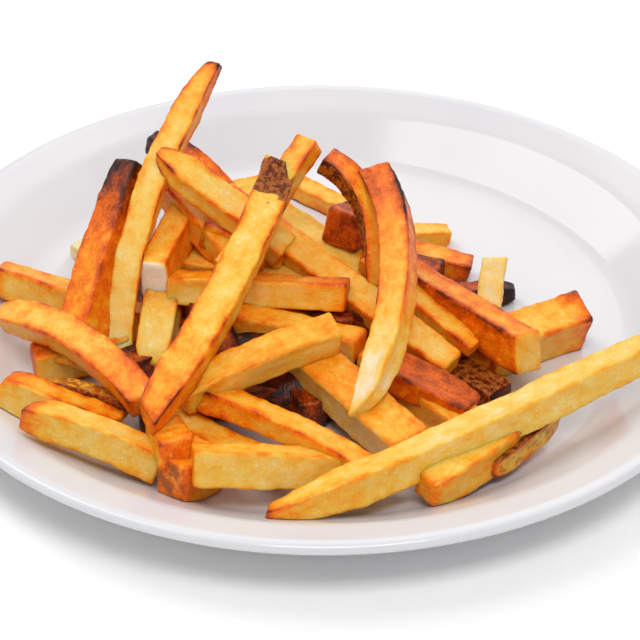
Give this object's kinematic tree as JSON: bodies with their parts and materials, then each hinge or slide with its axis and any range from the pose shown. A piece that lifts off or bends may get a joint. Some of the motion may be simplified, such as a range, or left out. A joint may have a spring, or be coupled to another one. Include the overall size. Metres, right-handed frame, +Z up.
{
  "type": "french fries portion",
  "caption": "A loose heap of cut potato fries, pale gold to brown, on a round white rimmed dinner plate with a shallow well and a foot ring.",
  "frame": {"origin": "centre of the plate's foot ring, on the surface that the plate stands on", "axes": "+Z up; +Y away from the side that the plate is served from; +X to the right, where the longest fry points"},
  "size_m": [0.26, 0.26, 0.0773],
  "materials": {
    "plate": "white glaze, glossy",
    "fries": "fried potato, golden with browned edges and ends"
  },
  "bodies": {
    "root": {"plate": "plate", "fries": "fries"}
  },
  "joints": []
}
